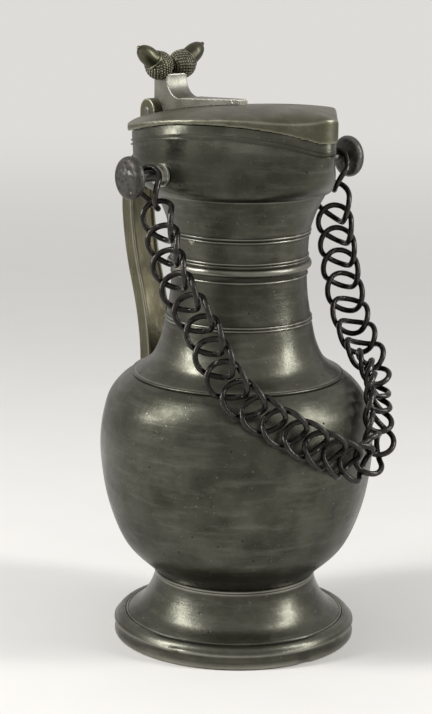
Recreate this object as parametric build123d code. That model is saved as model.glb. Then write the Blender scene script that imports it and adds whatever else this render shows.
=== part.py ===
from build123d import *
import os
from math import acos, cos, dist, pi, radians, sin, sqrt

# A pewter wine jug with a hinged lid and an iron carrying chain.
# The origin is on the axis of the jug, in the plane that it stands on.
# +Z is up, +X points to the spout, and the two chain studs lie along Y.

# Walls and clearances
pewter_wall = 2.6
seat_clearance = 0.3
running_clearance = 0.05
link_clearance = 0.35

# Foot: heights above the table. The shape of each turned wall is given as points between its
# ends, in shares of the way from the narrower end to the wider one and of the way up.
foot_radius = 70.0
foot_band_height = 8.0
foot_rim_width = 3.6
foot_bead_radius = 68.6
foot_bead_height = 2.4
foot_groove_radius = 62.3
foot_groove_rise = 5.2
foot_top_radius = 45.8
foot_height = 38.7
foot_ring_size = 0.9
foot_flare_shape = ((1.0, 0.0), (0.57, 0.19), (0.26, 0.47), (0.07, 0.77), (0.0, 1.0))

# Body: the lower bowl, then the upper bowl up to the line on the shoulder
belly_radius = 78.4
lower_bowl_height = 79.3
upper_bowl_height = 38.9
shoulder_radius = 59.0
lower_bowl_shape = ((0.0, 0.0), (0.545, 0.22), (0.815, 0.47), (0.962, 0.75), (1.0, 1.0))
upper_bowl_shape = ((1.0, 0.0), (0.907, 0.36), (0.72, 0.655), (0.41, 0.85), (0.0, 1.0))

# Neck: from the shoulder to its narrowest place, then out to the line under the collar
neck_radius = 38.6
neck_lower_height = 52.1
neck_upper_height = 52.3
collar_line_radius = 49.0
line_size = 0.55
astragal_size = 2.4
astragal_rise = 11.0
fine_line_drops = (73.5, 71.8, 46.9, 38.0, 36.3, 24.2, 22.2)
neck_lower_shape = ((1.0, 0.0), (0.53, 0.145), (0.32, 0.31), (0.155, 0.57), (0.0, 1.0))
neck_upper_shape = ((0.02, 0.28), (0.13, 0.57), (0.41, 0.76), (1.0, 1.0))

# Collar and mouth: a round back and a pointed front joined by straight flanks
mouth_back_radius = 57.0
mouth_back_centre = -7.4
mouth_tip_radius = 10.0
mouth_tip_centre = 66.0
collar_tip_share = 0.97
collar_tip_offset = 0.04
collar_flare_height = 28.7
rim_rise = 13.0
rim_line_drops = (4.6, 7.0)
rim_line_width = 0.9
rim_line_root = 2.1

# Sections of the cup between its round base and the mouth, as (share of its height, inset at
# the back, outset at the tip, share of the way to the back centre and to the tip centre)
cup_levels = (
    (0.16, 2.0, 24.0, 0.4, 0.42),
    (0.55, 0.3, 8.0, 0.85, 0.8),
)

# The rim seen from the side, as (x, drop below the top of the rim)
rim_line = (
    (-95.0, 13.0),
    (-64.0, 12.7),
    (-44.0, 10.9),
    (-23.0, 7.0),
    (-3.0, 2.8),
    (14.0, 0.6),
    (30.0, 0.0),
    (46.0, 1.0),
    (60.0, 3.1),
    (72.0, 6.1),
    (90.0, 12.5),
)

# Lid
lid_overhang = 1.5
lid_back_shift = 1.7
lid_rise = 8.2

# Sections across the crown of the lid, as (x, half width, ridge drop, edge drop), with the
# drops measured from the top of the lid
lid_sections = (
    (-90.0, 34.0, 18.8, 21.0),
    (-70.0, 27.0, 13.9, 16.2),
    (-45.0, 49.0, 8.8, 15.2),
    (-20.0, 60.0, 4.9, 11.3),
    (5.0, 59.5, 2.1, 7.2),
    (30.0, 47.0, 0.5, 5.4),
    (52.0, 29.5, 0.0, 6.4),
    (66.0, 18.0, 0.4, 8.0),
    (80.0, 11.0, 3.0, 11.0),
    (95.0, 9.0, 10.0, 19.0),
)

# Hinge: its axis lies behind and below the top of the rim
hinge_setback = 8.5
hinge_drop = 4.7
knuckle_radius = 7.0
knuckle_width = 5.2
knuckle_gap = 0.4
knuckle_room = 0.8
pin_radius = 1.5
pin_head_radius = 2.5
pin_head_length = 1.0

# Lid strap with its thumb lever, set off from the hinge axis
strap_width = 14.4
strap_end_width = 6.0
strap_back_thickness = 6.0
strap_end_thickness = 3.2
strap_length = 74.5
strap_notch_place = 69.0
strap_notch_width = 1.4
lever_reach = 1.0
lever_depth = 12.5
lever_foot_length = 26.0
lever_height = 21.8
lever_hollow = 8.0

# Acorns on the lever
acorn_side = 8.2
acorn_rise = 4.6
acorn_rise_angle = 37.0
acorn_cup_radius = 8.0
acorn_cup_depth = 4.8
acorn_cup_rim = 0.9
acorn_nut_radius = 5.7
acorn_nut_length = 18.9
acorn_tip_radius = 0.9
acorn_nut_shoulder = 0.9
acorn_nut_taper = 0.55

# Strap handle, with its free stretch set off from the hinge axis as (out, down)
handle_width = 18.0
handle_thickness = 8.4
handle_edge_round = 1.6
handle_arm_drop = 18.3
handle_foot_rise = 12.0
handle_sink = 6.0
handle_bridge_rise = 2.1
handle_route = (
    (10.0, 22.0),
    (18.0, 31.5),
    (24.5, 41.5),
    (26.5, 56.0),
    (24.5, 73.0),
    (20.5, 91.3),
    (14.6, 107.3),
    (9.5, 124.3),
    (6.3, 143.0),
)

# Chain studs on the collar
stud_x = 2.0
stud_rise = 12.7
stud_boss_radius = 5.2
stud_boss_length = 4.5
stud_boss_flare = 1.6
stud_boss_round = 1.4
stud_stem_radius = 3.0
rivet_head_radius = 4.5
rivet_head_length = 1.4
button_gap = 13.0
button_radius = 12.0
button_dome = 5.5
button_back = 2.5
button_socket_depth = 3.0
button_face_radius = 8.6
button_edge_bulge = (0.93, 0.3)
button_dome_shape = (0.6, 0.85)

# Chain
wire_radius = 1.6
link_half_length = 12.0
link_half_width = 10.2
link_twist = 1.1
link_slant = 22.0
link_count = 29
link_samples = 48
laying_rounds = 10
slant_per_gap = 3.0
chain_standoff = 8.5
shackle_half_length = 12.0
shackle_half_width = 8.6
shackle_twist = 1.2

# The route of the chain: azimuth in degrees, drop below the studs, and distance out from a cone
# that runs from the side of the collar to the width of the belly, level with the shoulder. Below
# that it is measured from the belly. Where the jug itself is wider, the chain rests on the jug.
chain_route = (
    (-77.5, 20.0, 7.6),
    (-73.5, 32.5, 6.4),
    (-65.3, 55.5, 4.5),
    (-52.4, 78.5, 2.7),
    (-44.7, 99.5, 1.6),
    (-36.5, 114.0, -0.4),
    (-24.0, 127.0, 2.1),
    (-12.0, 137.5, 4.6),
    (1.0, 149.0, 4.6),
    (14.0, 156.0, 6.1),
    (24.5, 150.0, 9.6),
    (30.0, 138.5, 6.6),
    (40.5, 126.0, 2.1),
    (60.5, 116.0, -1.2),
    (76.3, 101.0, 0.0),
    (86.0, 84.0, 4.1),
    (88.5, 62.0, 5.2),
    (88.5, 42.0, 5.8),
    (88.4, 20.5, 6.9),
)

# The azimuth that the broad side of the links faces, at shares of the chain's length
chain_facing = (
    (0.0, -85.0),
    (0.1, -75.0),
    (0.2, -62.0),
    (0.35, -40.0),
    (0.5, -5.0),
    (0.6, 5.0),
    (0.7, -15.0),
    (0.8, -38.0),
    (0.9, -60.0),
    (1.0, -80.0),
)

# Heights and places that follow from the sizes above
groove_height = foot_band_height + foot_groove_rise
belly_height = foot_height + lower_bowl_height
shoulder_height = belly_height + upper_bowl_height
waist_height = shoulder_height + neck_lower_height
collar_height = waist_height + neck_upper_height
mouth_wall_height = collar_height + collar_flare_height
rim_top = mouth_wall_height + rim_rise
lid_top = rim_top + lid_rise
lid_back = mouth_back_centre - lid_back_shift - mouth_back_radius - lid_overhang
hinge_x = mouth_back_centre - mouth_back_radius - hinge_setback
hinge_height = rim_top - hinge_drop
hinge_width = strap_width + 2 * knuckle_gap + 2 * knuckle_width
stud_height = collar_height + stud_rise
boss_face = mouth_back_radius + stud_boss_length
button_face = boss_face + button_gap
everywhere = 4 * belly_radius


# Outlines of the turned pieces, as (radius, height), from the foot upwards
def shaped(narrow, wide, low, high, shape):
    return [(narrow + out * (wide - narrow), low + up * (high - low)) for out, up in shape]


def foot_flare():
    return shaped(foot_top_radius, foot_groove_radius, groove_height, foot_height, foot_flare_shape)


def lower_bowl():
    return shaped(foot_top_radius, belly_radius, foot_height, belly_height, lower_bowl_shape)


def upper_bowl():
    return shaped(shoulder_radius, belly_radius, belly_height, shoulder_height, upper_bowl_shape)


def neck_outline():
    lower = shaped(neck_radius, shoulder_radius, shoulder_height, waist_height, neck_lower_shape)
    return lower + shaped(neck_radius, collar_line_radius, waist_height, collar_height, neck_upper_shape)


def way_at(points, i):
    """The direction of an outline at one of its points."""
    before = points[max(i - 1, 0)]
    after = points[min(i + 1, len(points) - 1)]
    length = dist(before, after)
    return (after[0] - before[0]) / length, (after[1] - before[1]) / length


def inner_outline(points):
    """The inside of the wall, with its ends level with the ends of the outside."""
    inner = []
    last = len(points) - 1
    for i, (radius, height) in enumerate(points):
        run, rise = way_at(points, i)
        if i in (0, last):
            inner.append((radius - pewter_wall / rise, height))
        else:
            inner.append((radius - pewter_wall * rise, height + pewter_wall * run))
    return inner


def line(start, end):
    return Line((start[0], 0, start[1]), (end[0], 0, end[1]))


def curve(points):
    start = way_at(points, 0)
    end = way_at(points, len(points) - 1)
    places = [(radius, 0, height) for radius, height in points]
    return Spline(*places, tangents=[(start[0], 0, start[1]), (end[0], 0, end[1])])


def turned(edges, rings=()):
    """Turn a closed outline, with round rings on it given as (radius, height, size)."""
    section = make_face(Wire(edges))
    for radius, height, size in rings:
        section += Plane.XZ * Pos(radius, height) * Circle(size)
    return revolve(section, Axis.Z)


def turned_shell(points, rings=()):
    inner = inner_outline(points)
    top = line(points[-1], inner[-1])
    bottom = line(inner[0], points[0])
    return turned([curve(points), top, curve(inner), bottom], rings)


def turned_solid(points):
    top = (0, points[-1][1])
    bottom = (0, points[0][1])
    return turned([curve(points), line(points[-1], top), line(top, bottom), line(bottom, points[0])])


def radius_at(points, height):
    """The outside radius at a height, found by halving along the outline."""
    outside = curve(points)
    low, high = 0.0, 1.0
    for _ in range(24):
        middle = (low + high) / 2
        if (outside @ middle).Z < height:
            low = middle
        else:
            high = middle
    return (outside @ low).X


def jug_radius(height):
    for points in (lower_bowl(), upper_bowl()):
        if height < points[-1][1]:
            return radius_at(points, height)
    return radius_at(neck_outline(), height)


# Foot: a hollow flared stand with a band, a rounded bead and a groove
def build_foot():
    flare = foot_flare()
    inner = inner_outline(flare)
    skirt_radius = foot_radius - foot_rim_width
    skirt_top = (skirt_radius, inner[1][1])
    band_top = (foot_radius, 0, foot_band_height)
    bead = (foot_bead_radius, 0, foot_band_height + foot_bead_height)
    groove = (foot_groove_radius, 0, groove_height)
    return turned(
        [
            line((foot_radius, 0), (foot_radius, foot_band_height)),
            ThreePointArc(band_top, bead, groove),
            curve(flare),
            line(flare[-1], inner[-1]),
            curve(inner[1:]),
            line(inner[1], (inner[1][0], groove_height - pewter_wall)),
            line((inner[1][0], groove_height - pewter_wall), (skirt_radius, foot_band_height)),
            line((skirt_radius, foot_band_height), (skirt_radius, 0)),
            line((skirt_radius, 0), (foot_radius, 0)),
        ],
        [(foot_top_radius, foot_height - foot_ring_size, foot_ring_size)],
    )


# Body: two cast bowls soldered at the belly, the lower one with a floor
def build_body_lower():
    inner = inner_outline(lower_bowl())
    floor = Pos(0, 0, foot_height + pewter_wall / 2) * Cylinder(inner[0][0] + pewter_wall / 2, pewter_wall)
    return turned_shell(lower_bowl()) + floor


def build_body_upper():
    shoulder_line = (shoulder_radius + line_size / 2, shoulder_height - line_size, line_size)
    return turned_shell(upper_bowl(), [shoulder_line])


# Neck: a turned tube with fine lines and one bolder ring
def build_neck():
    outline = neck_outline()
    rings = [(collar_height - drop, line_size) for drop in fine_line_drops]
    rings.append((waist_height + astragal_rise, astragal_size))
    rings = [(radius_at(outline, height), height, size) for height, size in rings]
    return turned_shell(outline, rings)


# Outline of the mouth: a back circle and a tip circle joined by two straight flanks
def mouth_outline(height, back_radius, back_centre, tip_radius, tip_centre):
    spread = acos((back_radius - tip_radius) / (tip_centre - back_centre))
    back = (back_centre + back_radius * cos(spread), back_radius * sin(spread))
    tip = (tip_centre + tip_radius * cos(spread), tip_radius * sin(spread))
    edges = [
        ThreePointArc((tip[0], -tip[1]), (tip_centre + tip_radius, 0), tip),
        Line(tip, back),
        ThreePointArc(back, (back_centre - back_radius, 0), (back[0], -back[1])),
        Line((back[0], -back[1]), (tip[0], -tip[1])),
    ]
    return Pos(0, 0, height) * make_face(Wire(edges))


def mouth_level(grow, height):
    back = mouth_back_radius + grow
    return mouth_outline(height, back, mouth_back_centre, mouth_tip_radius + grow, mouth_tip_centre)


def under_rim(drop):
    """Everything below the rim, or below a line level with it."""
    places = [(x, 0, rim_top - fall - drop) for x, fall in rim_line]
    low = -everywhere
    edges = [
        Spline(*places),
        Line(places[-1], (places[-1][0], 0, low)),
        Line((places[-1][0], 0, low), (places[0][0], 0, low)),
        Line((places[0][0], 0, low), places[0]),
    ]
    return extrude(make_face(Wire(edges)), everywhere, both=True)


# Collar: its cup widens from the round neck to the pointed mouth
def collar_solid(grow):
    base = collar_line_radius
    if grow < 0:
        base = inner_outline(neck_outline())[-1][0]
    tip_radius = collar_tip_share * base
    sections = [mouth_outline(collar_height, base, 0, tip_radius, collar_tip_offset * base)]
    for up, inset, outset, back_share, tip_share in cup_levels:
        height = collar_height + up * collar_flare_height
        back = (mouth_back_radius + grow - inset, back_share * mouth_back_centre)
        tip = (mouth_tip_radius + grow + outset, tip_share * mouth_tip_centre)
        sections.append(mouth_outline(height, *back, *tip))
    sections.append(mouth_level(grow, mouth_wall_height))
    return loft(sections) + extrude(mouth_level(grow, mouth_wall_height), rim_rise + pewter_wall)


def build_collar():
    collar = (collar_solid(0) - collar_solid(-pewter_wall)) & under_rim(0)
    for drop in rim_line_drops:
        band = extrude(mouth_level(line_size, collar_height), rim_top - collar_height)
        band -= extrude(mouth_level(-rim_line_root, collar_height), rim_top - collar_height)
        collar += band & (under_rim(drop) - under_rim(drop + rim_line_width))
    seat_height = 2 * line_size
    seat = Cylinder(collar_line_radius, seat_height)
    seat -= Cylinder(inner_outline(neck_outline())[-1][0], seat_height)
    seat += Torus(collar_line_radius, line_size)
    collar += Pos(0, 0, collar_height + line_size) * seat
    for side in (-1, 1):
        collar -= stud_rod(stud_stem_radius + running_clearance, 0, boss_face, side)
    return collar


# Lid: a crowned plate with deep sides at the beak, hollow underneath
def crown_section(x, half_width, ridge_drop, edge_drop):
    left = (x, -half_width, lid_top - edge_drop)
    right = (x, half_width, lid_top - edge_drop)
    edges = [
        ThreePointArc(left, (x, 0, lid_top - ridge_drop), right),
        Line(right, (x, half_width, collar_height)),
        Line((x, half_width, collar_height), (x, -half_width, collar_height)),
        Line((x, -half_width, collar_height), left),
    ]
    return make_face(Wire(edges))


def under_crown(drop):
    """Everything below the crown of the lid."""
    return Pos(0, 0, -drop) * loft([crown_section(*section) for section in lid_sections])


def ridge_height(x):
    for (x0, _, drop0, _), (x1, _, drop1, _) in zip(lid_sections, lid_sections[1:]):
        if x0 <= x <= x1:
            return lid_top - drop0 - (drop1 - drop0) * (x - x0) / (x1 - x0)


def lid_plan(grow):
    back = mouth_back_radius + lid_overhang + grow
    tip = mouth_tip_radius + lid_overhang + grow
    low = collar_height + pewter_wall
    plan = mouth_outline(low, back, mouth_back_centre - lid_back_shift, tip, mouth_tip_centre)
    return extrude(plan, lid_top - low)


def hinge_disc(radius, width, side=0.0):
    return Pos(hinge_x, side, hinge_height) * Rot(90, 0, 0) * Cylinder(radius, width)


def build_lid():
    lid = lid_plan(0) & under_crown(0)
    lid -= lid_plan(-pewter_wall - lid_overhang) & under_crown(pewter_wall)
    lid -= under_rim(-seat_clearance)
    return lid - hinge_disc(knuckle_radius + knuckle_room, hinge_width + 2 * knuckle_room)


# Lid strap: a leaf on the ridge of the lid with its hinge barrel and thumb lever
def build_lid_strap():
    lever_back = hinge_x - lever_reach
    lever_front = lever_back + lever_depth
    lever_foot = hinge_x + lever_foot_length
    lever_top = hinge_height + lever_height
    strap_end = hinge_x + strap_length
    foot_top = ridge_height(lever_foot) + strap_back_thickness
    end_top = ridge_height(strap_end) + strap_end_thickness
    hollow = (lever_front + lever_hollow / 2, 0, (lever_top + foot_top) / 2 - lever_hollow / 2)
    strap = make_face(
        Wire(
            [
                line((lever_back, hinge_height), (lever_back, lever_top)),
                line((lever_back, lever_top), (lever_front, lever_top)),
                ThreePointArc((lever_front, 0, lever_top), hollow, (lever_foot, 0, foot_top)),
                line((lever_foot, foot_top), (strap_end, end_top)),
                line((strap_end, end_top), (strap_end, hinge_height - knuckle_radius)),
                line((strap_end, hinge_height - knuckle_radius), (hinge_x, hinge_height - knuckle_radius)),
                line((hinge_x, hinge_height - knuckle_radius), (lever_back, hinge_height)),
            ]
        )
    )
    strap = extrude(strap, strap_width / 2, both=True) - under_crown(0)
    plan = Polyline(
        (lever_back - strap_width, -strap_width / 2, 0),
        (lever_foot, -strap_width / 2, 0),
        (strap_end, -strap_end_width / 2, 0),
        (strap_end, strap_end_width / 2, 0),
        (lever_foot, strap_width / 2, 0),
        (lever_back - strap_width, strap_width / 2, 0),
        close=True,
    )
    strap &= extrude(make_face(plan), lever_top)
    notch_x = hinge_x + strap_notch_place
    notch = Box(strap_notch_width, 2 * strap_width, strap_end_thickness)
    strap -= Pos(notch_x, 0, ridge_height(notch_x) + strap_end_thickness) * notch
    strap += hinge_disc(knuckle_radius, strap_width)
    return strap - hinge_disc(pin_radius + running_clearance, everywhere)


# Acorns: a cup and a nut in one casting, turned about an axis that points up and out
def acorn_plane(side):
    middle_x = hinge_x - lever_reach + lever_depth / 2
    middle = (middle_x, side * acorn_side, hinge_height + lever_height + acorn_rise)
    rise = radians(acorn_rise_angle)
    return Plane(origin=middle, x_dir=(1, 0, 0), z_dir=(0, side * cos(rise), sin(rise)))


def build_acorn(side):
    mouth = sqrt(acorn_cup_radius**2 - acorn_cup_depth**2)
    tip = acorn_nut_length - acorn_tip_radius
    belly = (acorn_cup_depth + tip) / 2
    profile = [
        ThreePointArc((0, 0, -acorn_cup_radius), (acorn_cup_radius, 0, 0), (mouth, 0, acorn_cup_depth)),
        line((mouth, acorn_cup_depth), (mouth, acorn_cup_depth + acorn_cup_rim)),
        line((mouth, acorn_cup_depth + acorn_cup_rim), (acorn_nut_radius, acorn_cup_depth + acorn_cup_rim)),
        Spline(
            (acorn_nut_radius, 0, acorn_cup_depth + acorn_cup_rim),
            (acorn_nut_shoulder * acorn_nut_radius, 0, belly),
            (acorn_nut_taper * acorn_nut_radius, 0, (belly + tip) / 2),
            (acorn_tip_radius, 0, tip),
            tangents=[(0, 0, 1), (-1, 0, 1)],
        ),
        ThreePointArc(
            (acorn_tip_radius, 0, tip),
            (acorn_tip_radius * cos(pi / 4), 0, tip + acorn_tip_radius * sin(pi / 4)),
            (0, 0, acorn_nut_length),
        ),
        line((0, acorn_nut_length), (0, -acorn_cup_radius)),
    ]
    place = acorn_plane(side)
    acorn = place.location * turned(profile) - build_lid_strap()
    own_half = Box(everywhere, everywhere, everywhere)
    return acorn & Pos(0, side * (seat_clearance + everywhere) / 2, place.origin.Z) * own_half


# Hinge pin: it runs through the two knuckles on the handle and the barrel between them
def build_hinge_pin():
    length = hinge_width + 2 * running_clearance
    pin = hinge_disc(pin_radius, length)
    for side in (-1, 1):
        pin += hinge_disc(pin_head_radius, pin_head_length, side * (length + pin_head_length) / 2)
    return pin


# Handle: one cast strap from the collar to the body, with the outer hinge knuckles on it
def handle_path():
    start = (mouth_back_centre - mouth_back_radius + handle_sink, 0, hinge_height - handle_arm_drop)
    free = [(hinge_x - out, 0, hinge_height - down) for out, down in handle_route]
    landing = belly_height + handle_foot_rise
    beside = (handle_sink - jug_radius(landing) - handle_thickness, 0, landing + handle_sink)
    end = (handle_sink - jug_radius(landing), 0, landing - handle_sink)
    return Spline(start, *free, beside, end)


def build_handle(collar):
    path = handle_path()
    section = RectangleRounded(handle_thickness, handle_width, handle_edge_round)
    handle = sweep(Plane(origin=path @ 0, x_dir=(0, 0, 1), z_dir=path % 0) * section, path)
    bridge_height = handle_arm_drop - handle_bridge_rise
    bridge_back = hinge_x - knuckle_radius
    bridge_front = min(hinge_x + knuckle_radius, lid_back - knuckle_gap)
    bridge = Box(bridge_front - bridge_back, hinge_width, bridge_height)
    cheeks = Pos((bridge_back + bridge_front) / 2, 0, hinge_height - bridge_height / 2) * bridge
    cheeks += hinge_disc(knuckle_radius, hinge_width)
    room = knuckle_radius + knuckle_room
    gap_width = strap_width + 2 * knuckle_gap
    cheeks -= hinge_disc(room, gap_width)
    cheeks -= Pos(hinge_x, 0, hinge_height + room / 2) * Box(2 * room, gap_width, room)
    handle += cheeks
    handle -= hinge_disc(pin_radius + running_clearance, everywhere)
    handle -= collar_solid(0)
    handle -= collar
    handle -= turned_solid(lower_bowl())
    handle -= turned_solid(upper_bowl())
    return max(handle.solids(), key=lambda solid: solid.volume)


# Chain studs: a flared boss, a riveted stem and a lens-shaped button on each side
def stud_rod(radius, start, end, side):
    rod = Cylinder(radius, end - start)
    return Pos(stud_x, side * (start + end) / 2, stud_height) * Rot(90, 0, 0) * rod


def build_boss(side, collar):
    start = mouth_back_radius / 2
    place = Pos(stud_x, side * (start + boss_face) / 2, stud_height) * Rot(-90 * side, 0, 0)
    boss = Cone(stud_boss_radius + stud_boss_flare, stud_boss_radius, boss_face - start)
    boss = place * fillet(boss.faces().sort_by(Axis.Z)[-1].edges(), stud_boss_round)
    boss -= collar_solid(0)
    boss -= collar
    boss -= stud_rod(stud_stem_radius + running_clearance, 0, button_face, side)
    return max(boss.solids(), key=lambda solid: solid.volume)


def wall_face(side):
    """How far out the inside of the collar wall lies at the stud."""
    probe = stud_rod(stud_stem_radius, 0, boss_face, side) & collar_solid(-pewter_wall)
    return probe.bounding_box().max.Y if side > 0 else -probe.bounding_box().min.Y


def build_stem(side, collar):
    inside = wall_face(side)
    start = inside - rivet_head_length
    stem = stud_rod(stud_stem_radius, start, button_face + button_socket_depth, side)
    stem += stud_rod(rivet_head_radius, start, inside, side)
    return stem - collar


def build_button(side):
    top = button_back + button_dome
    bulge_radius = button_edge_bulge[0] * button_radius
    bulge_height = button_edge_bulge[1] * button_back
    dome_radius = button_dome_shape[0] * button_radius
    dome_height = button_back + button_dome_shape[1] * button_dome
    back_edge = ThreePointArc(
        (button_face_radius, 0, 0),
        (bulge_radius, 0, bulge_height),
        (button_radius, 0, button_back),
    )
    dome = Spline(
        (button_radius, 0, button_back),
        (dome_radius, 0, dome_height),
        (0, 0, top),
        tangents=[(0, 0, 1), (-1, 0, 0)],
    )
    socket = [
        line((0, top), (0, button_socket_depth)),
        line((0, button_socket_depth), (stud_stem_radius, button_socket_depth)),
        line((stud_stem_radius, button_socket_depth), (stud_stem_radius, 0)),
        line((stud_stem_radius, 0), (button_face_radius, 0)),
    ]
    button = turned([back_edge, dome, *socket])
    return Pos(stud_x, side * button_face, stud_height) * Rot(-90 * side, 0, 0) * button


# Chain: every link is a ring of round wire, bent from eight arcs and twisted
def biarc(start, start_way, end, end_way):
    chord = end - start
    ways = start_way + end_way
    spread = 1 - start_way.dot(end_way)
    along = chord.dot(ways)
    reach = (sqrt(along**2 + 2 * spread * chord.dot(chord)) - along) / (2 * spread)
    first = start + start_way * reach
    last = end - end_way * reach
    middle = (first + last) / 2
    way = (last - first).normalized()
    return [TangentArc(start, middle, tangent=start_way), TangentArc(middle, end, tangent=way)]


def ring_edges(half_length, half_width, twist):
    slant = half_width * twist / half_length
    places = [
        (Vector(half_length, 0, 0), Vector(0, 1, twist).normalized()),
        (Vector(0, half_width, 0), Vector(-1, 0, -slant).normalized()),
        (Vector(-half_length, 0, 0), Vector(0, -1, twist).normalized()),
        (Vector(0, -half_width, 0), Vector(1, 0, -slant).normalized()),
    ]
    edges = []
    for i, (place, way) in enumerate(places):
        next_place, next_way = places[(i + 1) % len(places)]
        edges += biarc(place, way, next_place, next_way)
    return edges


def wire_ring(edges):
    """Two half rings of round wire, closed into one."""
    middle = len(edges) // 2
    halves = []
    for half in (Wire(edges[:middle]), Wire(edges[middle:])):
        section = Plane(origin=half @ 0, z_dir=half % 0) * Circle(wire_radius)
        halves.append(sweep(section, half))
    return halves[0] + halves[1]


def route_point(azimuth, drop, out):
    height = stud_height - drop
    share = min(1.0, drop / (stud_height - shoulder_height))
    cone = mouth_back_radius + share * (belly_radius - mouth_back_radius)
    radius = max(cone + out, jug_radius(height) + chain_standoff)
    return Vector(radius * cos(radians(azimuth)), radius * sin(radians(azimuth)), height)


def chain_line():
    places = [route_point(*values) for values in chain_route]
    left = Vector(stud_x, places[0].Y, stud_height)
    right = Vector(stud_x, places[-1].Y, stud_height)
    return Spline(left, *places, right)


def facing(share):
    """The way that the broad side of a link faces, at a share of the chain's length."""
    azimuth = chain_facing[-1][1]
    for (s0, a0), (s1, a1) in zip(chain_facing, chain_facing[1:]):
        if s0 <= share <= s1:
            azimuth = a0 + (a1 - a0) * (share - s0) / (s1 - s0)
    return Vector(cos(radians(azimuth)), sin(radians(azimuth)), 0)


def link_seats():
    """Where each link lies: its centre, the way along the chain and the way it faces."""
    route = chain_line()
    hung = 2 * shackle_half_length - stud_stem_radius - 3 * wire_radius - 2 * link_clearance
    first = hung + link_half_length * cos(radians(link_slant))
    step = (route.length - 2 * first) / (link_count - 1)
    seats = []
    for i in range(link_count):
        share = (first + i * step) / route.length
        along = (route % share).normalized()
        face = facing(share)
        face = (face - along * face.dot(along)).normalized()
        seats.append((route @ share, along, face))
    return seats


def link_plane(seat, slant):
    centre, along, face = seat
    across = face.cross(along)
    long_way = along * cos(radians(slant)) + across * sin(radians(slant))
    return Plane(origin=centre, x_dir=long_way, z_dir=face)


def wire_points(plane, points):
    x, y, z, centre = plane.x_dir, plane.y_dir, plane.z_dir, plane.origin
    return [tuple(centre + x * p.X + y * p.Y + z * p.Z) for p in points]


def wire_gap(points, others):
    return min(dist(p, q) for p in points for q in others) - 2 * wire_radius


def link_planes(edges, shackle_edges):
    """Lay every link over until it nearly touches the tighter of its two neighbours."""
    ring = Wire(edges)
    points = [ring @ (k / link_samples) for k in range(link_samples)]
    end_ring = Wire(shackle_edges)
    end_points = [end_ring @ (k / link_samples) for k in range(link_samples)]
    first = wire_points(shackle_plane(0), end_points)
    last = wire_points(shackle_plane(1), end_points)
    seats = link_seats()
    slants = [link_slant] * link_count
    for _ in range(laying_rounds):
        wires = [wire_points(link_plane(seat, slant), points) for seat, slant in zip(seats, slants)]
        wires = [first, *wires, last]
        spare = [wire_gap(a, b) - link_clearance for a, b in zip(wires, wires[1:])]
        for i in range(link_count):
            slants[i] += slant_per_gap * min(spare[i], spare[i + 1])
    print("least gap between links", round(min(spare) + link_clearance, 2))
    return [link_plane(seat, slant) for seat, slant in zip(seats, slants)]


# End shackles: oval rings that hang on the stems between boss and button
def shackle_plane(end):
    route = chain_line()
    stud = route @ end
    nearest = chain_route[-end]
    toward = route_point(*nearest) - stud
    toward = Vector(toward.X, 0, toward.Z).normalized()
    hung = shackle_half_length - stud_stem_radius - wire_radius - link_clearance
    along = toward * (1 - 2 * end)
    return Plane(origin=stud + toward * hung, x_dir=along, z_dir=(0, -1, 0))


collar = build_collar()
pieces = {
    "foot": build_foot(),
    "body_lower": build_body_lower(),
    "body_upper": build_body_upper(),
    "neck": build_neck(),
    "collar": collar,
    "handle": build_handle(collar),
    "hinge_pin": build_hinge_pin(),
    "lid": build_lid(),
    "lid_strap": build_lid_strap(),
}

shackle_edges = ring_edges(shackle_half_length, shackle_half_width, shackle_twist)
shackle = wire_ring(shackle_edges)
for side, name in ((-1, "left"), (1, "right")):
    pieces[f"acorn_{name}"] = build_acorn(side)
    pieces[f"stud_boss_{name}"] = build_boss(side, collar)
    pieces[f"stud_stem_{name}"] = build_stem(side, collar)
    pieces[f"stud_button_{name}"] = build_button(side)
    pieces[f"end_shackle_{name}"] = shackle_plane((side + 1) // 2).location * shackle

link_edges = ring_edges(link_half_length, link_half_width, link_twist)
link = wire_ring(link_edges)
for number, plane in enumerate(link_planes(link_edges, shackle_edges), start=1):
    pieces[f"chain_link_{number:02d}"] = plane.location * link

os.makedirs("parts", exist_ok=True)
for name, piece in pieces.items():
    export_step(piece, f"parts/{name}.step")
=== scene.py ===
from math import cos, dist, pi, radians, sin, sqrt

import bpy
from mathutils import Matrix, Vector


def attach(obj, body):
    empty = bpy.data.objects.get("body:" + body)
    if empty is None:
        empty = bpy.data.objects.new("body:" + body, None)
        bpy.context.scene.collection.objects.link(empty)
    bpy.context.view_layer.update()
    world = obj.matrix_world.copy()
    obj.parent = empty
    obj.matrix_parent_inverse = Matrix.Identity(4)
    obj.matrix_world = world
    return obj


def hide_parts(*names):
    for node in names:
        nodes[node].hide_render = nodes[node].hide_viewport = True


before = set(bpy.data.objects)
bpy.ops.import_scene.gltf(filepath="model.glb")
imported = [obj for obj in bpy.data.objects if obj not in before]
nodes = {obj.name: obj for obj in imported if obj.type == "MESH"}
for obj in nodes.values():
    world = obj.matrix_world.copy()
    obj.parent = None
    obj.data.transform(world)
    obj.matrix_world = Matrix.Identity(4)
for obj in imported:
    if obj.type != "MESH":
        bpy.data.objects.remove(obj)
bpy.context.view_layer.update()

mm = 0.001


# Foot: a hollow stand cast in pewter and turned on a lathe, then soldered to the bowl. Its band
# has been knocked about by centuries of tables, and the turned bead and line above it have
# worn brighter. The hollows between them are painted darker, as shade.
def pick(*pieces):
    """Select these pieces and nothing else, so that the next tool only works on them."""
    bpy.ops.object.select_all(action="DESELECT")
    for piece in pieces:
        piece.select_set(True)
    if pieces:
        bpy.context.view_layer.objects.active = pieces[0]


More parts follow.
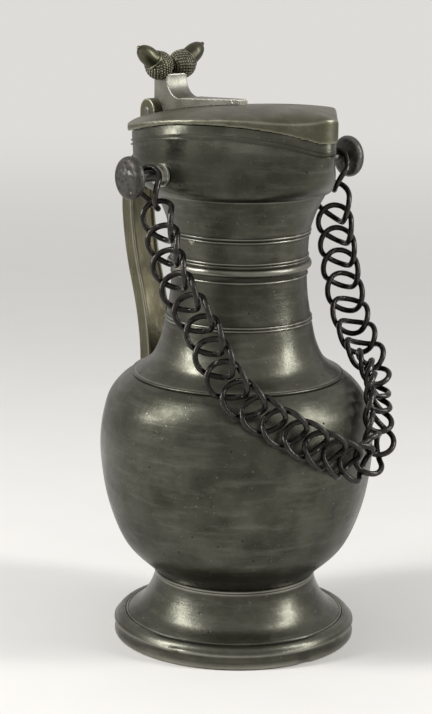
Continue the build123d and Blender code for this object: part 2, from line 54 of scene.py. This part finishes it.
def smooth_line(points, steps):
    """A smooth line through a few points, like a turner's template."""
    ways = []
    for i, point in enumerate(points):
        before, after = points[max(i - 1, 0)], points[min(i + 1, len(points) - 1)]
        back, ahead = dist(before, point), dist(point, after)
        if 0 in (back, ahead):
            ways.append([(b - a) / (back + ahead) for a, b in zip(before, after)])
            continue
        ways.append(
            [
                ((p - a) / back * ahead + (b - p) / ahead * back) / (back + ahead)
                for a, p, b in zip(before, point, after)
            ]
        )
    line = []
    for start, end, leave, arrive in zip(points, points[1:], ways, ways[1:]):
        span = dist(start, end)
        for k in range(steps):
            t = k / steps
            shares = (
                2 * t**3 - 3 * t**2 + 1,
                3 * t**2 - 2 * t**3,
                (t**3 - 2 * t**2 + t) * span,
                (t**3 - t**2) * span,
            )
            corners = zip(start, end, leave, arrive)
            line.append(tuple(sum(s * v for s, v in zip(shares, values)) for values in corners))
    return line + [tuple(points[-1])]


def turn(outline, sides=160):
    """Spin an outline of (radius, height) points in millimetres round the upright axis."""
    pick()
    bpy.ops.mesh.primitive_plane_add(size=mm, location=(0, 0, 0))
    piece = bpy.context.object
    bpy.ops.object.mode_set(mode="EDIT")
    bpy.ops.mesh.merge(type="CENTER")
    bpy.ops.transform.translate(value=(outline[0][0] * mm, 0, outline[0][1] * mm))
    for (radius, height), (next_radius, next_height) in zip(outline, outline[1:]):
        move = ((next_radius - radius) * mm, 0, (next_height - height) * mm)
        bpy.ops.mesh.extrude_region_move(TRANSFORM_OT_translate={"value": move})
    bpy.ops.mesh.select_all(action="SELECT")
    bpy.ops.mesh.spin(steps=sides, angle=2 * pi, center=(0, 0, 0), axis=(0, 0, 1))
    bpy.ops.mesh.select_all(action="SELECT")
    bpy.ops.mesh.remove_doubles(threshold=0.02 * mm)
    bpy.ops.mesh.normals_make_consistent(inside=False)
    bpy.ops.object.mode_set(mode="OBJECT")
    return piece


def smooth(piece, angle=40):
    """Shade a piece smooth, except at edges sharper than an angle."""
    pick(piece)
    bpy.ops.object.shade_smooth_by_angle(angle=radians(angle))
    return piece


def fit(piece, body, finish, look, *stands_for):
    """Give a piece its name, material and body, and hide the CAD nodes that it stands for. The
    finish is not used.
    """
    piece.name = piece.data.name = stands_for[0] + "_visual"
    piece.data.materials.clear()
    piece.data.materials.append(look)
    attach(piece, body)
    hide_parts(*stands_for)


def colour(code):
    """A colour written in hex, made linear."""
    parts = [int(code[i : i + 2], 16) / 255 for i in (0, 2, 4)]
    return (*[p / 12.92 if p <= 0.04045 else ((p + 0.055) / 1.055) ** 2.4 for p in parts], 1.0)


def node(tree, kind, inputs=(), output=0, **settings):
    """Add a shader node with its settings, set or link its inputs, and give one output."""
    made = tree.nodes.new("ShaderNode" + kind)
    for name, value in settings.items():
        setattr(made, name, value)
    for key, value in dict(inputs).items():
        if isinstance(value, bpy.types.NodeSocket):
            tree.links.new(value, made.inputs[key])
        else:
            made.inputs[key].default_value = value
    return made.outputs[output]


def material(name):
    """A new material, its node tree and the place on the piece."""
    look = bpy.data.materials.new(name)
    look.use_nodes = True
    return look, look.node_tree, node(look.node_tree, "TexCoord", output="Object")


def metal(tree, metallic, base, coats, roughness, reliefs):
    """Lay coats of (share, colour) over a base, and add reliefs of (pattern, millimetres)."""
    shade = colour(base)
    for share, code in coats:
        layers = {0: share, 6: shade, 7: colour(code)}
        shade = node(tree, "Mix", layers, output=2, data_type="RGBA")
    relief = 0.0
    for pattern, depth in reliefs:
        relief = node(tree, "Math", {0: pattern, 1: depth, 2: relief}, operation="MULTIPLY_ADD")
    bump = node(tree, "Bump", {"Height": relief, "Distance": mm, "Strength": 1.0})
    shader = tree.nodes["Principled BSDF"]
    shader.inputs["Metallic"].default_value = metallic
    for key, value in (("Base Color", shade), ("Roughness", roughness), ("Normal", bump)):
        tree.links.new(value, shader.inputs[key])


def pewter(
    name, tone, tarnish, worn, gloss, turned=0.0, streaks=(1, 1, 1), hammer=0.0, edges=1.0
):
    """Old pewter: tin with some lead, dulled to a grey oxide with an olive tinge. It is a soft
    metal, so it shows turning marks, pits, scratches and edges rubbed back to bright metal."""
    look, tree, place = material(name)
    # clouds of tarnish about 30 mm across, broken up down to 2 mm
    size = {"Scale": 1 / (30 * mm), "Detail": 7.0, "Roughness": 0.62}
    clouds = node(tree, "TexNoise", {"Vector": place, **size})
    # rubbed streaks along the way the piece was scraped or turned, 2 mm apart
    along = node(tree, "Mapping", {"Vector": place, "Scale": streaks})
    size = {"Scale": 1 / (5 * mm), "Detail": 5.0, "Roughness": 0.6}
    rubbed = node(tree, "TexNoise", {"Vector": along, **size})
    # lathe marks: rings about 1 mm apart, coarser than real ones so that they show
    rings = node(tree, "Mapping", {"Vector": place, "Scale": (0.012, 0.012, 1)})
    marks = node(tree, "TexNoise", {"Vector": rings, "Scale": 1 / (1.6 * mm), "Detail": 3.0})
    # the grain of the casting, about 1 mm
    size = {"Scale": 1 / (1.1 * mm), "Detail": 4.0, "Roughness": 0.7}
    grain = node(tree, "TexNoise", {"Vector": place, **size})
    # corrosion pits, 1 to 2 mm wide and only here and there
    size = {"Scale": 1 / (5 * mm), "Randomness": 1.0}
    cells = node(tree, "TexVoronoi", {"Vector": place, **size}).node
    edge = {"From Min": 0.07, "From Max": 0.16, "To Min": 1.0, "To Max": 0.0}
    pit = node(tree, "MapRange", {"Value": cells.outputs["Distance"], **edge})
    chosen = node(tree, "SeparateColor", {"Color": cells.outputs["Color"]})
    some = node(tree, "Math", {0: chosen, 1: 0.8}, operation="GREATER_THAN")
    pits = node(tree, "Math", {0: pit, 1: some}, operation="MULTIPLY")
    # short straight scratches about 0.6 mm wide, at a slant
    slant = {"Vector": place, "Rotation": (1.3, 0.4, 0.5), "Scale": (1, 1, 24)}
    slant = node(tree, "Mapping", slant, vector_type="TEXTURE")
    strokes = node(tree, "TexNoise", {"Vector": slant, "Scale": 1 / (1.2 * mm), "Detail": 0.0})
    edge = {"From Min": 0.76, "From Max": 0.88, "To Max": 0.35}
    scratch = node(tree, "MapRange", {"Value": strokes, **edge})
    # wear on raised edges, and painted shade in concave creases, from how sharp the shape is
    sharp = node(tree, "NewGeometry", output="Pointiness")
    edge = {"From Min": 0.505, "From Max": 0.56, "To Max": edges}
    wear = node(tree, "MapRange", {"Value": sharp, **edge})
    wear = node(tree, "Math", {0: wear, 1: rubbed}, operation="MULTIPLY")
    wear = node(tree, "Math", {0: wear, 1: 1.6}, operation="MULTIPLY", use_clamp=True)
    # painted shade: darker in concave creases, then joined with the real corrosion pits
    edge = {"From Min": 0.44, "From Max": 0.495, "To Min": edges, "To Max": 0.0}
    pits_and_crease_shade = node(tree, "MapRange", {"Value": sharp, **edge})
    pits_and_crease_shade = node(tree, "Math", {0: pits, 1: pits_and_crease_shade}, operation="MAXIMUM")
    pits_and_crease_shade = node(tree, "Math", {0: pits_and_crease_shade, 1: 0.75}, operation="MULTIPLY")
    # how much shows of the thin tarnish and of the rubbed streaks
    thin = node(tree, "MapRange", {"Value": clouds, "From Min": 0.36, "From Max": 0.62})
    edge = {"From Min": 0.5, "From Max": 0.8, "To Max": 0.2}
    streaked = node(tree, "MapRange", {"Value": rubbed, **edge})
    coats = ((thin, tone), (streaked, worn), (scratch, worn), (pits_and_crease_shade, "1c1b17"), (wear, worn))
    # duller where the tarnish is thick or the metal is pitted
    edge = {"From Min": 0.3, "From Max": 0.7, "To Min": gloss + 0.12, "To Max": gloss}
    dull = node(tree, "MapRange", {"Value": clouds, **edge})
    dull = {0: pits, 1: 0.3, 2: dull}
    dull = node(tree, "Math", dull, operation="MULTIPLY_ADD", use_clamp=True)
    reliefs = ((marks, 0.05 * turned), (grain, 0.035), (clouds, 0.5))
    reliefs += ((rubbed, 0.05 + hammer), (pits, -0.12), (scratch, -0.05))
    metal(tree, 0.92, tarnish, coats, dull, reliefs)
    return look


# fine rings all round, left by the lathe, and lighter metal on every raised line
round_marks = (0.2, 0.2, 1.1)
turned_pewter = pewter(
    "turned_pewter", "53534a", "3b3b33", "97968b", 0.27, turned=1.0, streaks=round_marks
)

foot_underside = [
    (66.6, 0.0),
    (66.6, 8.0),
    (60.0, 10.6),
    (53.0, 16.2),
    (47.6, 24.0),
    (44.4, 32.4),
    (43.2, 38.6),
]
foot_flare = smooth_line([(61.6, 13.3), (55.2, 18.0), (50.1, 25.2), (46.9, 32.8), (45.8, 38.7)], 8)
foot_ring_radius, foot_ring_height, foot_ring_size = 45.8, 37.6, 1.0
foot_ring = [
    (
        foot_ring_radius + foot_ring_size * sin(radians(a)),
        foot_ring_height - foot_ring_size * cos(radians(a)),
    )
    for a in (20, 60, 90, 120, 160)
]
foot_outline = foot_underside[::-1] + [
    (68.9, 0.0),
    (69.6, 0.7),
    (69.7, 2.0),
    *smooth_line([(69.1, 4.0), (69.1, 6.0), (69.9, 7.9)], 3),
    (69.9, 8.5),
    *smooth_line([(69.1, 9.1), (67.9, 11.0), (65.6, 12.6), (63.6, 12.8)], 5),
    (63.2, 12.4),
    (62.9, 13.1),
    (62.4, 13.4),
    (61.9, 13.1),
    *foot_flare[:-3],
    (46.1, 36.4),
    *foot_ring,
    (45.8, 38.7),
    (43.2, 38.7),
]
foot = turn(foot_outline)
# dents in the band: azimuth in degrees, then height, size and depth in millimetres
band_radius = 69.8
dents = [(-66, 8.3, 3.0, 0.9), (-2, 0.5, 7.0, 0.9), (20, 8.0, 2.5, 0.6), (150, 1.0, 5.0, 0.8)]
for azimuth, height, size, depth in dents:
    aim = radians(azimuth)
    spot = Vector((band_radius * cos(aim), band_radius * sin(aim), height)) * mm
    inward = -Vector((spot.x, spot.y, 0)).normalized()
    for corner in foot.data.vertices:
        near = (corner.co - spot).length / (size * mm)
        if near < 1:
            corner.co += inward * depth * mm * (1 - near**2) ** 2
fit(smooth(foot, 30), "jug", "body_pewter", turned_pewter, "foot")


# Body: two cast bowls, soldered rim to rim at the belly and scraped smooth there. The lower one
# has the floor of the jug in it, and the upper one ends in a fine line on the shoulder.
def radius_at(outline, height):
    """The radius of an outline at a height."""
    for (r0, h0), (r1, h1) in zip(outline, outline[1:]):
        if h0 <= height <= h1:
            return r0 + (r1 - r0) * (height - h0) / (h1 - h0)


def wall(outside, thickness, rings=(), floor=0.0):
    """The outline of a turned wall, with half-round rings on it given as (height, size)."""
    outside = list(outside)
    inside = [(radius - thickness, height) for radius, height in outside]
    for height, size in rings:
        radius = radius_at(outside, height)
        outside = [p for p in outside if abs(p[1] - height) > 1.3 * size]
        turns = [radians(a) for a in range(12, 180, 26)]
        ring = [(radius + size * sin(a), height - size * cos(a)) for a in turns]
        spot = sum(p[1] < height for p in outside)
        outside[spot:spot] = ring
    # a point just inside each end keeps the wear on the soldered edges to a hair's width
    edge = 0.08
    for line in (outside, inside):
        (r0, h0), (r1, h1) = line[-2:]
        line.insert(-1, (r1 - (r1 - r0) * edge, h1 - (h1 - h0) * edge))
        (r0, h0), (r1, h1) = line[:2]
        line.insert(1, (r0 + (r1 - r0) * edge, h0 + (h1 - h0) * edge))
    if floor:
        inside = [p for p in inside if p[1] > floor]
        inside = [(0, outside[0][1]), (0, floor), *inside]
    return [*outside, *inside[::-1], outside[0]]


pewter_wall = 2.6
belly = (78.4, 118.0)
shoulder = (59.0, 156.9)
shoulder_line = (156.2, 0.7)
bowl_points = [(45.8, 38.7), (63.6, 56.2), (72.4, 76.0), (77.2, 98.2), belly]
bowl_points += [(76.6, 132.0), (73.0, 143.5), (67.0, 151.1), shoulder]
bowl_line = smooth_line(bowl_points, 12)
belly_spot = bowl_line.index(belly)
# scraped metal without bright edges, because the seams at the belly and under the rim don't show
scraped_pewter = pewter(
    "scraped_pewter", "515148", "383830", "97968b", 0.27, turned=1.0, streaks=round_marks, edges=0.0
)
body_lower = turn(wall(bowl_line[: belly_spot + 1], pewter_wall, floor=41.3))
body_upper = turn(wall(bowl_line[belly_spot:], pewter_wall, [shoulder_line]))
fit(smooth(body_lower), "jug", "body_pewter", scraped_pewter, "body_lower")
fit(smooth(body_upper), "jug", "body_pewter", scraped_pewter, "body_upper")

# Neck: a cast tube, turned on the lathe with pairs of fine raised lines and one bold half-round
# ring at the waist, and soldered to the shoulder.
neck_points = [shoulder, (49.4, 164.5), (45.1, 173.1), (41.8, 186.6), (38.6, 209.0)]
neck_points += [(38.8, 223.6), (39.9, 238.8), (42.9, 248.7), (49.0, 261.3)]
neck_lines = [(height, 0.6) for height in (187.8, 189.5, 214.4, 223.3, 225.0, 237.1, 239.1)]
neck_ring = (220.0, 2.4)
neck = turn(wall(smooth_line(neck_points, 12), pewter_wall, [*neck_lines, neck_ring]))
fit(smooth(neck), "jug", "body_pewter", turned_pewter, "neck")


# Collar: the cup at the mouth, cast round at the back and drawn out to a point at the front,
# with two fine lines that follow the curve of its rim.
def welded(source):
    """A copy of a CAD node with its loose triangles joined up, to be worked over."""
    piece = bpy.data.objects.new("copy", nodes[source].data.copy())
    bpy.context.collection.objects.link(piece)
    pick(piece)
    bpy.ops.object.mode_set(mode="EDIT")
    bpy.ops.mesh.select_all(action="SELECT")
    bpy.ops.mesh.remove_doubles(threshold=0.004 * mm)
    bpy.ops.object.mode_set(mode="OBJECT")
    return piece


def work(piece, kind, **settings):
    """Add a modifier to a piece and apply it at once."""
    pick(piece)
    step = piece.modifiers.new(kind.title(), kind)
    for name, value in settings.items():
        setattr(step, name, value)
    bpy.ops.object.modifier_apply(modifier=step.name)
    return piece


collar = welded("collar")
work(collar, "BEVEL", width=0.35 * mm, segments=2, limit_method="ANGLE", angle_limit=radians(50))
fit(smooth(collar, 35), "jug", "body_pewter", scraped_pewter, "collar")


# Handle: a broad strap cast in one piece with the outer hinge knuckles. A raised lip runs along
# both edges of its faces. Its pewter has a brown tarnish, and the creases beside the lips get
# painted shade.
def join(*pieces):
    """Make one piece of several, without fusing them."""
    pick(*pieces)
    bpy.ops.object.join()
    return pieces[0]


def cast(piece, grain, rounds):
    """Fuse a piece to one skin, and soften its edges as an old casting's are."""
    work(piece, "REMESH", mode="VOXEL", voxel_size=grain * mm)
    return work(piece, "SMOOTH", factor=0.5, iterations=rounds)


def bar(points, radius):
    """A round bar along points in millimetres."""
    pick()
    bpy.ops.curve.primitive_nurbs_path_add(location=(0, 0, 0))
    path = bpy.context.object.data
    path.splines.clear()
    spline = path.splines.new("NURBS")
    spline.points.add(len(points) - 1)
    for point, place in zip(spline.points, points):
        point.co = (*[v * mm for v in place], 1.0)
    spline.order_u = 3
    spline.use_endpoint_u = True
    path.bevel_depth = radius * mm
    path.bevel_resolution = 3
    path.use_fill_caps = True
    bpy.ops.object.convert(target="MESH")
    return bpy.context.object


# the middle of the strap from the hinge down, and its lips: out to the side, off the middle, size
handle_middle = [
    (-91.0, 266.5),
    (-97.0, 257.0),
    (-99.4, 242.3),
    (-97.4, 225.3),
    (-93.4, 207.0),
    (-87.5, 191.0),
    (-82.4, 174.0),
    (-79.3, 156.0),
    (-79.0, 143.0),
]
lip_side, lip_depth, lip_radius = 7.9, 3.7, 1.15
handle_lips = []
for side in (-1, 1):
    for face in (-lip_depth, lip_depth):
        places = []
        for i, (x, z) in enumerate(handle_middle):
            x0, z0 = handle_middle[max(i - 1, 0)]
            x1, z1 = handle_middle[min(i + 1, len(handle_middle) - 1)]
            length = dist((x0, z0), (x1, z1))
            lip_x, lip_z = x - face * (z1 - z0) / length, z + face * (x1 - x0) / length
            places.append((lip_x, side * lip_side, lip_z))
        handle_lips.append(bar(places, lip_radius))
handle = cast(join(welded("handle"), *handle_lips), 0.55, 3)
# warmer and duller than the body, rubbed in long streaks by the hands that carried it
handle_pewter = pewter(
    "handle_pewter", "64604c", "4c4838", "aaa89a", 0.38, streaks=(2.0, 2.0, 0.12)
)
fit(smooth(handle, 60), "jug", "cast_pewter", handle_pewter, "handle")


# Hinge pin: an iron rod through the knuckles, with its ends hammered over into low heads. It
# turns in the strap's knuckle and stays put in the two on the handle.
def iron(name, tone, rust, bright, gloss, rough=0.0):
    """Wrought iron, blackened by the forge fire and by centuries of handling and wax. It is
    nearly black, with narrow sharp highlights where it has rubbed smooth."""
    look, tree, place = material(name)
    # fire scale in patches about 8 mm across, with hammer facets under it
    size = {"Scale": 1 / (8 * mm), "Detail": 6.0, "Roughness": 0.6}
    patches = node(tree, "TexNoise", {"Vector": place, **size})
    size = {"Scale": 1 / (0.9 * mm), "Detail": 3.0, "Roughness": 0.7}
    grain = node(tree, "TexNoise", {"Vector": place, **size})
    size = {"Scale": 1 / (2.2 * mm)}
    dimples = node(tree, "TexVoronoi", {"Vector": place, **size}, feature="SMOOTH_F1")
    # how much shows of the rust, of the dark hollows and of the rubbed edges
    rusty = node(tree, "MapRange", {"Value": patches, "From Min": 0.45, "From Max": 0.68})
    edge = {"From Min": 0.05, "From Max": 0.35, "To Min": rough, "To Max": 0.0}
    hollow = node(tree, "MapRange", {"Value": dimples, **edge})
    sharp = node(tree, "NewGeometry", output="Pointiness")
    edge = {"From Min": 0.51, "From Max": 0.6, "To Max": 0.8}
    wear = node(tree, "MapRange", {"Value": sharp, **edge})
    coats = ((rusty, rust), (hollow, "0f0e0c"), (wear, bright))
    # duller on the patches of fire scale
    edge = {"From Min": 0.35, "From Max": 0.7, "To Min": gloss, "To Max": gloss + 0.18}
    dull = node(tree, "MapRange", {"Value": patches, **edge})
    reliefs = ((grain, 0.05), (patches, 0.25), (dimples, 0.06 + 0.3 * rough))
    metal(tree, 0.85, tone, coats, dull, reliefs)
    return look


def across(piece, side, place):
    """Turn a piece from the upright axis to one that points out to a side of the jug."""
    piece.data.transform(Matrix.Translation(place) @ Matrix.Rotation(radians(-90 * side), 4, "X"))
    return piece


pin_head = [(1.5, 12.85), (2.5, 12.9), (2.2, 13.4), (1.4, 13.8), (0, 13.85)]
pin_outline = [(radius, -out) for radius, out in pin_head[::-1]] + pin_head
hinge_place = Vector((-72.9, 0, 298.3)) * mm
# rough grey iron, lighter than the chain because it isn't waxed
stud_iron = iron("stud_iron", "4b4a46", "3a3732", "8d8c86", 0.36, rough=0.7)
hinge_pin = across(turn(pin_outline, 32), 1, hinge_place)
fit(smooth(hinge_pin), "jug", "stud_iron", stud_iron, "hinge_pin")

# Lid: a crowned plate with a downturned edge, cast to the pointed shape of the mouth and scraped
# along its length. Its edge is rubbed round and bright by hands.
lid = cast(welded("lid"), 0.7, 5)
lid_pewter = pewter(
    "lid_pewter", "5c5b4b", "4a493c", "9a9989", 0.4, streaks=(0.12, 0.9, 0.9), hammer=0.06
)
fit(smooth(lid, 60), "lid", "lid_pewter", lid_pewter, "lid")

# Lid strap: a leaf riveted along the ridge of the lid, in one casting with the middle knuckle of
# the hinge and the hollow-fronted lever that a thumb presses, which keeps it bright. Its light tone
# all over is also a painted highlight.
lid_strap = cast(welded("lid_strap"), 0.4, 3)
# lighter than the other pewter all over: a painted highlight, besides the thumb's wear on the lever
strap_pewter_worn_and_sheen = pewter(
    "strap_pewter_worn_and_sheen", "84837a", "626156", "c2c2ba", 0.4, streaks=(0.2, 1.5, 0.8), hammer=0.03
)
fit(smooth(lid_strap, 60), "lid", "cast_pewter", strap_pewter_worn_and_sheen, "lid_strap")

# Acorns: the thumb piece is a pair of acorns, cast on top of the lever. Each has a scaly cup with
# a raised rim and a smooth nut that ends in a small knob. Their pewter is dark, and the creases
# between the scales get painted shade.
# dark olive pewter, with half the edge wear and half the painted crease shade
acorn_pewter = pewter("acorn_pewter", "4b4a38", "33322a", "8d8b7a", 0.32, edges=0.5)
cup_radius = 8.0
cup_turns = [radians(a) for a in range(0, 128, 9)]
acorn_cup = [(cup_radius * sin(a), -cup_radius * cos(a)) for a in cup_turns]
acorn_nut = smooth_line([(5.6, 5.2), (5.5, 8.0), (5.1, 12.0), (3.2, 16.2), (1.3, 17.9)], 5)
acorn_outline = [*acorn_cup, (6.5, 4.9), (6.7, 5.3), (6.4, 5.9), (5.8, 6.0), *acorn_nut[3:]]
acorn_outline += [(1.0, 18.2), (1.15, 18.6), (0.8, 19.0), (0.0, 19.1)]
acorn_side, acorn_lean = 8.2, 53
scale_count, scale_start, scale_rise = 210, -7.9, 12.4
next_scale = pi * (3 - sqrt(5))
pick()
bpy.ops.mesh.primitive_ico_sphere_add(subdivisions=1, radius=mm, location=(0, 0, 0))
scale = bpy.context.object
bpy.ops.object.mode_set(mode="EDIT")
bpy.ops.mesh.select_all(action="SELECT")
bpy.ops.transform.resize(value=(1.0, 1.25, 0.62))
bpy.ops.object.mode_set(mode="OBJECT")
work(scale, "SUBSURF", levels=1, render_levels=1)
for side, name in ((-1, "acorn_left"), (1, "acorn_right")):
    pieces = [turn(acorn_outline, 48)]
    for i in range(scale_count):
        height = scale_start + scale_rise * (i + 0.5) / scale_count
        out = sqrt(cup_radius**2 - height**2)
        spot = Vector((out * cos(i * next_scale), out * sin(i * next_scale), height))
        seat = spot.to_track_quat("Z", "Y").to_matrix().to_4x4()
        copy = bpy.data.objects.new("scale", scale.data.copy())
        copy.data.transform(Matrix.Translation(spot * mm) @ seat)
        bpy.context.collection.objects.link(copy)
        pieces.append(copy)
    acorn = join(*pieces)
    middle = Vector((-67.65, side * acorn_side, 324.7)) * mm
    tilt = Matrix.Rotation(radians(-side * acorn_lean), 4, "X")
    acorn.data.transform(Matrix.Translation(middle) @ tilt)
    fit(smooth(acorn, 60), "lid", "cast_pewter", acorn_pewter, name)
bpy.data.objects.remove(scale)

# Chain studs: a pewter boss on each side of the collar, an iron stem riveted through it, and a
# lens-shaped iron button on the end, with a smooth round edge and a face pitted by rust.
stud_place = Vector((2.0, 0, 274.0)) * mm
boss_outline = [
    (3.05, 55.6),
    (6.4, 55.6),
    (6.4, 56.6),
    (5.7, 57.3),
    (5.5, 58.6),
    (5.35, 59.9),
    (4.8, 60.9),
    (3.9, 61.5),
    (3.05, 61.5),
    (3.05, 55.6),
]
stem_outline = [(0, 53.0), (2.6, 53.0), (4.0, 53.4), (4.5, 54.3), (3.0, 54.4)]
stem_outline += [(3.0, 77.4), (0, 77.4)]
button_back = [(3.05, 74.5), (8.6, 74.5), (10.6, 75.0), (11.6, 75.8), (12.0, 77.0)]
button_front = [(12.0, 77.0), (11.8, 78.6), (10.9, 80.0), (9.6, 80.8)]
button_front = smooth_line([*button_front, (8.2, 81.1), (5.0, 81.9), (0.0, 82.4)], 5)
button_outline = [(0, 77.5), (3.05, 77.5), *button_back, *button_front[1:], (0, 77.5)]
# the pitting starts above this height, is full inside the face and thins out over its edge
face_height, face_radius, face_edge, least_pitting = 79, 9.0, 2.5, 0.08
# bright cast pewter, kept clean by the chain that rubs on it
boss_pewter = pewter("boss_pewter", "7d7c74", "5b5a50", "bdbdb4", 0.26)
rust_pits = bpy.data.textures.new("rust_pits", "CLOUDS")
rust_pits.noise_scale = 2.6 * mm
rust_pits.noise_depth = 3
pitting = {"texture": rust_pits, "strength": 1.1 * mm, "mid_level": 0.6, "texture_coords": "LOCAL"}
for side, name in ((-1, "left"), (1, "right")):
    boss = across(turn(boss_outline, 48), side, stud_place)
    fit(smooth(boss), "jug", "cast_pewter", boss_pewter, "stud_boss_" + name)
    stem = across(turn(stem_outline, 40), side, stud_place)
    fit(smooth(stem), "jug", "stud_iron", stud_iron, "stud_stem_" + name)
    button = turn(button_outline, 96)
    pitted = button.vertex_groups.new(name="pitted")
    for corner in button.data.vertices:
        out = sqrt(corner.co.x**2 + corner.co.y**2) / mm
        if corner.co.z > face_height * mm:
            share = max(least_pitting, min(1.0, (face_radius - out) / face_edge))
            pitted.add([corner.index], share, "REPLACE")
    work(button, "DISPLACE", vertex_group="pitted", **pitting)
    across(button, side, stud_place)
    fit(smooth(button, 60), "jug", "stud_iron", stud_iron, "stud_button_" + name)

# Chain: two oval end rings on the studs and 29 links, each a bar of round wrought iron bent to a
# ring, welded shut and given a twist. No two came off the anvil quite alike.
chain_iron = iron("chain_iron", "2e2c29", "1f1d1a", "8a8883", 0.2, rough=0.2)
hammering = bpy.data.textures.new("hammering", "CLOUDS")
hammering.noise_scale = 5 * mm
blows = {"texture": hammering, "strength": 0.3 * mm, "mid_level": 0.5, "texture_coords": "LOCAL"}
for name in sorted(nodes):
    if name.startswith(("chain_link", "end_shackle")):
        link = work(welded(name), "DISPLACE", **blows)
        fit(smooth(link, 60), "chain", "chain_iron", chain_iron, name)

# Studio: a plain pale floor that runs into a pale backdrop, a broad soft lamp on each side, and
# the camera where the photographer stood, a little above the jug's mouth.
pale = "dedcd8"
pick()
bpy.ops.mesh.primitive_plane_add(size=12.0, location=(0, 0, -0.0002))
floor = bpy.context.object
floor.name = "floor"
paper, tree, place = material("pale_floor")
mottle = node(tree, "TexNoise", {"Vector": place, "Scale": 1 / (60 * mm), "Detail": 5.0})
tint = {0: mottle, 6: colour(pale), 7: colour("e4e2de")}
tint = node(tree, "Mix", tint, output=2, data_type="RGBA")
shader = tree.nodes["Principled BSDF"]
tree.links.new(tint, shader.inputs["Base Color"])
shader.inputs["Roughness"].default_value = 0.8
# far from the jug the floor is seen in the colour of the backdrop, so no horizon shows
far = node(tree, "VectorMath", {0: place}, output="Value", operation="LENGTH")
far = {"Value": far, "From Min": 0.35, "From Max": 2.2}
far = node(tree, "MapRange", far, interpolation_type="SMOOTHSTEP")
seen = node(tree, "LightPath", output="Is Camera Ray")
far = node(tree, "Math", {0: far, 1: seen}, operation="MULTIPLY")
glow = node(tree, "Emission", {"Color": colour(pale), "Strength": 1.0})
both = node(tree, "MixShader", {0: far, 1: shader.outputs[0], 2: glow})
tree.links.new(both, tree.nodes["Material Output"].inputs["Surface"])
floor.data.materials.append(paper)

world = bpy.data.worlds.new("pale_backdrop")
bpy.context.scene.world = world
world.use_nodes = True
tree = world.node_tree
light = tree.nodes["Background"]
light.inputs["Color"].default_value = colour("e6e6e6")
light.inputs["Strength"].default_value = 0.62
backdrop = node(tree, "Background", {"Color": colour(pale), "Strength": 1.0})
rays = node(tree, "LightPath").node.outputs
seen = rays["Is Camera Ray"]
for ray in ("Is Glossy Ray", "Is Transmission Ray"):
    seen = node(tree, "Math", {0: seen, 1: rays[ray]}, operation="MAXIMUM")
both = node(tree, "MixShader", {0: seen, 1: light.outputs[0], 2: backdrop})
tree.links.new(both, tree.nodes["World Output"].inputs["Surface"])

view_azimuth = radians(38)
toward = Vector((cos(view_azimuth), -sin(view_azimuth), 0))
rightward = Vector((sin(view_azimuth), cos(view_azimuth), 0))
upward = Vector((0, 0, 1))
jug_middle = Vector((0, 0, 0.18))
# each lamp's place seen from the camera, its width in metres and its power in watts
lamps = [("lamp_left", -0.95, 0.25, 0.62, 0.2, 13.0), ("lamp_right", 0.95, 0.2, 0.5, 0.16, 9.0)]
for name, aside, near, high, width, power in lamps:
    lamp = bpy.data.lights.new(name, "AREA")
    lamp.shape = "RECTANGLE"
    lamp.size = width
    lamp.size_y = 0.8
    lamp.energy = power
    holder = bpy.data.objects.new(name, lamp)
    bpy.context.collection.objects.link(holder)
    holder.location = jug_middle + rightward * aside + toward * near + upward * high
    holder.rotation_euler = (holder.location - jug_middle).to_track_quat("Z", "Y").to_euler()

yaw, pitch, roll = radians(0.545), radians(13.27), radians(0.81)
level = -toward * cos(yaw) - rightward * sin(yaw)
right = rightward * cos(yaw) - toward * sin(yaw)
forward = level * cos(pitch) - upward * sin(pitch)
above = level * sin(pitch) + upward * cos(pitch)
right, above = right * cos(roll) + above * sin(roll), above * cos(roll) - right * sin(roll)
camera_distance, camera_height = 1.3096, 0.4726
lens = bpy.data.cameras.new("camera")
lens.sensor_fit = "VERTICAL"
lens.sensor_height = 36.0
lens.lens = 118.49
camera = bpy.data.objects.new("camera", lens)
bpy.context.collection.objects.link(camera)
aim = Matrix((right, above, -forward)).transposed().to_4x4()
camera.matrix_world = Matrix.Translation(toward * camera_distance + upward * camera_height) @ aim
bpy.context.scene.camera = camera
bpy.context.scene.view_settings.view_transform = "Standard"
